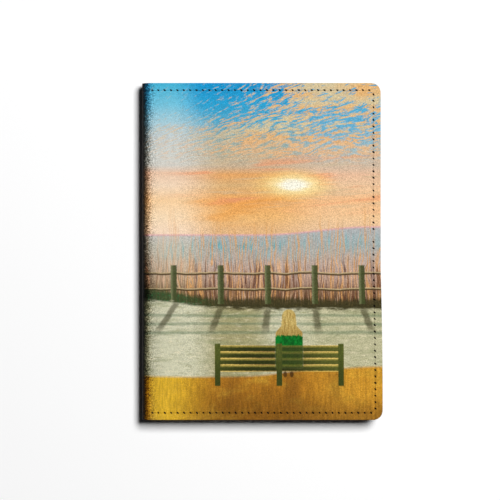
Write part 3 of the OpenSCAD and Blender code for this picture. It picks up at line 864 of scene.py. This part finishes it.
# ------------------------------------------------------------------ the cover's layers, in three lengths
# (name, from s, to s, bodies, blend from s, blend to s)
LENGTHS = (
    ("back", None, 0.0, ("back_cover", "spine"), -BEND_END, -SPINE_FLAT),
    ("roll", 0.0, BEND_END, ("spine", "front_hinge"), SPINE_FLAT, BEND_END),
    ("front", BEND_END, None, ("front_hinge", "front_cover"), BEND_END, CREASE_END),
)
CAD_PART = {"back": ("back",), "roll": ("spine", "hinge"), "front": ("front",)}


def settle(obj, length, node):
    """Bakes a layer's place into its mesh and hides the CAD parts of this length that it stands in for."""
    part, _, _, bodies, s0, s1 = length
    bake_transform(obj)
    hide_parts(*(f"{n}_{node}" for n in CAD_PART[part]))


def reach_of(length, reach):
    """Where a layer that reaches so far begins and ends in one of the lengths, and which ends are free."""
    _, s0, s1, *_ = length
    a = -reach if s0 is None else s0
    b = reach if s1 is None else s1
    return a, b, [e for e, given in ((a, s0), (b, s1)) if given is None]


def even(end, count):
    """Even places from -end to end."""
    return [-end + 2 * end * i / (count - 1) for i in range(count)]


def off_fold(s):
    """Moves a hole that would lie on the end of a bend just clear of it."""
    return math.copysign(BEND_END + 1.02 * HOLE_HALF, s) if abs(abs(s) - BEND_END) < HOLE_HALF else s


hole_s = [off_fold(s) for s in even(ROUND_S, ROUND_HOLES)]
column_y = even(ROW_Y - CORNER_CUT, COLUMN_HOLES)
FIRST_HOLE = BEND_END  # the holes on the roll itself are hidden under the thread
BENDS = np.arange(-CREASE_END, CREASE_END + 0.01, 0.22)  # close mesh lines where the cover bends


def line_places():
    """Every place of the stitch line round the open cover, as (s, y, slant), from the back's tail corner."""
    tail = [(s, -ROW_Y, -38.0) for s in hole_s]
    front = [(HOLE_S, y, -50.0) for y in column_y]
    head = [(s, ROW_Y, -24.0) for s in hole_s[::-1]]
    back = [(-HOLE_S, y, -50.0) for y in column_y[::-1]]
    return tail + front + head + back


PLACES = line_places()
pairs = list(zip(PLACES, PLACES[1:] + PLACES[:1]))


def around(holes, axis):
    return [h[axis] + d for h in holes for d in (-HOLE_HALF, HOLE_HALF)]


def skin_outer(s, y):
    """The outer face: turned-down edges, and a shallow furrow where the stitches pull it in."""
    d = np.minimum(COVER_S - np.abs(s), EDGE_Y - np.abs(y))
    row = np.abs(np.abs(y) - ROW_Y) + np.where(np.abs(s) > HOLE_S, 9, 0)
    furrow = np.minimum(row, np.abs(np.abs(s) - HOLE_S))
    return edge_drop(d) + 0.05 * np.exp(-((furrow / 0.7) ** 2))


def skin_piece(length):
    a, b, ends = reach_of(length, COVER_S)
    holes = [p for p in PLACES if a < p[0] < b and abs(p[0]) > FIRST_HOLE]
    rows = [p for p in holes if abs(abs(p[0]) - HOLE_S) > 0.1]
    cols = [p for p in holes if abs(abs(p[0]) - HOLE_S) < 0.1]
    s_marks = [x for x in BENDS if not any(abs(x - h[0]) < 1.03 * HOLE_HALF for h in rows)]
    s_marks += around(rows, 0) + around(cols[:1], 0) + inward(ends, SKIN_EDGE)
    y_marks = around(cols, 1) + around([(0, ROW_Y), (0, -ROW_Y)], 1)
    y_marks += inward((EDGE_Y, -EDGE_Y), SKIN_EDGE) + list(ZONE_EDGES)
    skin = slab(
        f"leather_{length[0]}", COVER, lines(a, b, HOLE_STEP, s_marks, ends),
        lines(-EDGE_Y, EDGE_Y, HOLE_STEP, y_marks, (-EDGE_Y, EDGE_Y)), skin_outer, SKIN[1], LEATHER,
        corners=[(e, CORNER_R) for e in ends], holes=holes,
    )
    settle(skin, length, "skin")


def inner_layer(length, layer, reach, y_end, depths, radius, edge_marks, material):
    """A flat layer behind the skin, with round corners at its free ends."""
    a, b, ends = reach_of(length, reach)
    obj = slab(
        f"{layer}_{length[0]}", COVER, lines(a, b, 4.0, inward(ends, edge_marks) + list(BENDS[::2])),
        lines(-y_end, y_end, 8.0, inward((y_end, -y_end), edge_marks)),
        *depths, material, corners=[(e, radius) for e in ends],
    )
    settle(obj, length, layer)


def layer_pieces():
    card_x, card_y = node_box("front_card")[1][:2]
    lining = (COVER_S - LINING_INSET, EDGE_Y - LINING_INSET, LINING, CORNER_R - LINING_INSET)
    wrapper = (COVER_S - (EDGE_X - card_x), card_y, CARD, PAGE_CORNER_R)
    for length in LENGTHS:
        part = length[0]
        skin_piece(length)
        inner_layer(length, "lining", *lining, LINING_EDGE, LINING_MAT)
        inner_layer(length, "card", *wrapper, CARD_EDGE, CARD_MAT)
        a, b, _ = reach_of(length, COVER_S)
        mine = [(p[:2], q[:2]) for p, q in pairs if a <= (p[0] + q[0]) / 2 < b]
        top = thread_run(f"top_thread_{part}", COVER, mine, 0.17, PRINT_THREAD)
        settle(top, length, "stitching")
        under = thread_run(f"bobbin_thread_{part}", COVER, mine, 0.16, BOBBIN_MAT, inside=inner_face)
        settle(under, length, "bobbin_thread")


POCKET_X = node_box("front_pocket")[0][0]
POCKET_S = COVER_S - (EDGE_X - POCKET_X)
RAISE_X = EDGE_X - (node_box("front_card")[1][0] + 0.5)
RAISE_Y = node_box("front_card")[1][1] + 0.55


def raised(s, y):
    """1 where the pocket flap stands over the card, 0 where it is sewn down."""
    d = np.minimum(COVER_S - RAISE_X - np.abs(s), RAISE_Y - np.abs(y))
    t = np.clip((d + 0.25) / 0.6, 0, 1)
    return t * t * (3 - 2 * t)


def inner_face(s, y):
    """Depth of the face that the bobbin thread lies on."""
    return np.where(np.abs(s) > POCKET_S, FLAP_DOWN[1], LINING[1])


def flap_face(side):
    """The depth of a pocket flap's outer (0) or inner (1) face, as a function of the place."""

    def depth(s, y):
        return FLAP_DOWN[side] + (FLAP_UP[side] - FLAP_DOWN[side]) * raised(s, y)

    return depth


def pocket_piece(side, body):
    sign = 1 if side == "front" else -1
    edge = COVER_S - LINING_INSET
    y_end = EDGE_Y - LINING_INSET
    s_marks = inward([sign * edge], POCKET_EDGE) + [sign * (POCKET_S + d) for d in (0.1, 0.3, 1.0)]
    s_lines = lines(*sorted((sign * POCKET_S, sign * edge)), 4.0, s_marks)
    y_lines = lines(-y_end, y_end, 6.0, inward((y_end, -y_end), POCKET_EDGE))
    obj = slab(
        f"pocket_{side}", COVER, s_lines, y_lines, flap_face(0), flap_face(1), POCKET_MAT,
        corners=[(sign * edge, CORNER_R - LINING_INSET)],
    )
    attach(obj, body)
    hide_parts(f"{side}_pocket")


layer_pieces()
pocket_piece("front", "front_cover")
pocket_piece("back", "back_cover")

liner_y = node_box("spine_liner")[1][1]
liner = slab("spine_mull", COVER, lines(-2.2, 2.2, 0.25), lines(-liner_y, liner_y, 4.0), *LINER, LINER_MAT)
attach(liner, "spine")
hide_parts("spine_liner")

# ------------------------------------------------------------------ the sewn signatures
LEAF_T, LEAF_STEP = 0.12, 0.13
SIGNATURES, SHEETS = 6, 3
FOLD_SHIFT = {1: 1.0, 2: 0.3, 3: 0.0, 4: 0.0, 5: 0.3, 6: 1.0}  # the back of the block is rounded


def signature(j):
    low, high = node_box(f"sheet_{j}_1")
    x0, x_end, y_end = low[0] + FOLD_SHIFT[j], high[0], high[1]
    z_mid, half = (low[2] + high[2]) / 2, (high[2] - low[2]) / 2
    for k in range(1, SHEETS + 1):
        r = half - (k - 1) * LEAF_STEP
        arc = math.pi / 2 * r
        path = Path(x0 + (k - 1) * LEAF_STEP, z_mid, [(arc, 0)], x_end)
        n = path.length
        marks = [sg * arc * i / 5 for sg in (1, -1) for i in range(6)]
        marks += [sg * (arc + 0.55 * i) for sg in (1, -1) for i in range(19)]
        marks += inward((n, -n), PAGE_EDGE)
        sheet = slab(
            f"folded_sheet_{j}_{k}", path, lines(-n, n, 8.0, marks),
            lines(-y_end, y_end, 12.0, inward((y_end, -y_end), PAGE_EDGE)), 0.0, LEAF_T, PAPER_MAT,
            corners=[(n, PAGE_CORNER_R), (-n, PAGE_CORNER_R)], tag=j * 0.37 + k * 0.61,
        )
        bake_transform(sheet)
        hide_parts(f"sheet_{j}_{k}")
    # linen thread along the middle of the fold, in at each sewing hole and out again
    thread_box = node_box(f"sewing_thread_{j}")
    x = x0 + SHEETS * LEAF_STEP + 0.13
    y0, y1 = thread_box[0][1], thread_box[1][1]
    n = 61
    t = np.linspace(0, 1, n)
    centre = np.stack([x + 0.05 * np.cos(t * math.pi * 8), y0 + (y1 - y0) * t, np.full(n, z_mid)], -1)
    verts, strand, faces = [], [], []
    for i, c in enumerate(centre):
        verts.append(c + np.stack([0.09 * ROUND_COS, np.zeros(THREAD_SIDES), 0.055 * ROUND_SIN], -1))
        strand.append(np.stack([np.full(THREAD_SIDES, c[1]), ROUND_COS, ROUND_SIN], -1))
        if i:
            for m in range(THREAD_SIDES):
                a, b = (i - 1) * THREAD_SIDES + m, (i - 1) * THREAD_SIDES + (m + 1) % THREAD_SIDES
                faces.append([b, a, a + THREAD_SIDES, b + THREAD_SIDES])
    faces.append(list(range(THREAD_SIDES)))
    faces.append(list(range((n - 1) * THREAD_SIDES, n * THREAD_SIDES))[::-1])
    strand = {"strand": np.concatenate(strand)}
    thread = new_object(f"linen_thread_{j}", np.concatenate(verts), faces, strand, LINEN_MAT, 60)
    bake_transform(thread)
    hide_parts(f"sewing_thread_{j}")


for number in range(1, SIGNATURES + 1):
    signature(number)


# ------------------------------------------------------------------ studio
def floor():
    g = Graph("pale_floor")
    grit = g.noise(g.attribute("position"), 900.0, 3, 0.6)
    white = g.mix((0.965, 0.965, 0.965), (0.975, 0.975, 0.975), grit)
    mat = g.finish(white, 0.95, g.bump(grit, 0.1, 0.00002), specular=0.0)
    half = 4.0
    mesh = bpy.data.meshes.new("floor")
    corners = [(-half, -half, 0), (half, -half, 0), (half, half, 0), (-half, half, 0)]
    mesh.from_pydata(corners, [], [[0, 1, 2, 3]])
    mesh.materials.append(mat)
    obj = bpy.data.objects.new("floor", mesh)
    obj.location.z = -0.05 * MM
    bpy.context.scene.collection.objects.link(obj)


def softbox(name, place, size, power, diffuse=True, glossy=True, level=False):
    light = bpy.data.lights.new(name, "AREA")
    light.shape = "RECTANGLE"
    light.size, light.size_y = size
    light.energy = power
    obj = bpy.data.objects.new(name, light)
    obj.location = place
    if not level:
        obj.rotation_euler = (-Vector(place)).to_track_quat("-Z", "Y").to_euler()
    obj.visible_diffuse, obj.visible_glossy = diffuse, glossy
    bpy.context.scene.collection.objects.link(obj)


def studio():
    scene = bpy.context.scene
    world = bpy.data.worlds.new("studio")
    world.use_nodes = True
    world.node_tree.nodes["Background"].inputs[0].default_value = (0.92, 0.95, 1.0, 1)
    world.node_tree.nodes["Background"].inputs[1].default_value = 0.015
    scene.world = world
    softbox("key", (1.10, 1.00, 2.4), (1.13, 1.33), 116, glossy=False, level=True)
    softbox("sheen", (-0.50, 0.0, 1.1), (0.20, 1.6), 2.5, diffuse=False)
    softbox("grain_light", (0.75, 0.9, 1.0), (0.5, 0.5), 3, diffuse=False)
    scene.view_settings.view_transform = "Standard"


def camera():
    """Straight above, with a wide white margin. The book lies a little right of the middle."""
    data = bpy.data.cameras.new("camera")
    obj = bpy.data.objects.new("camera", data)
    distance, view_width = 1.2, 0.2343
    data.sensor_width = 36
    data.lens = 36 * distance / view_width
    obj.location = (-0.00525, 0.0007, distance + BOOK_T * MM)
    data.clip_end = 20
    bpy.context.scene.collection.objects.link(obj)
    bpy.context.scene.camera = obj


floor()
studio()
camera()
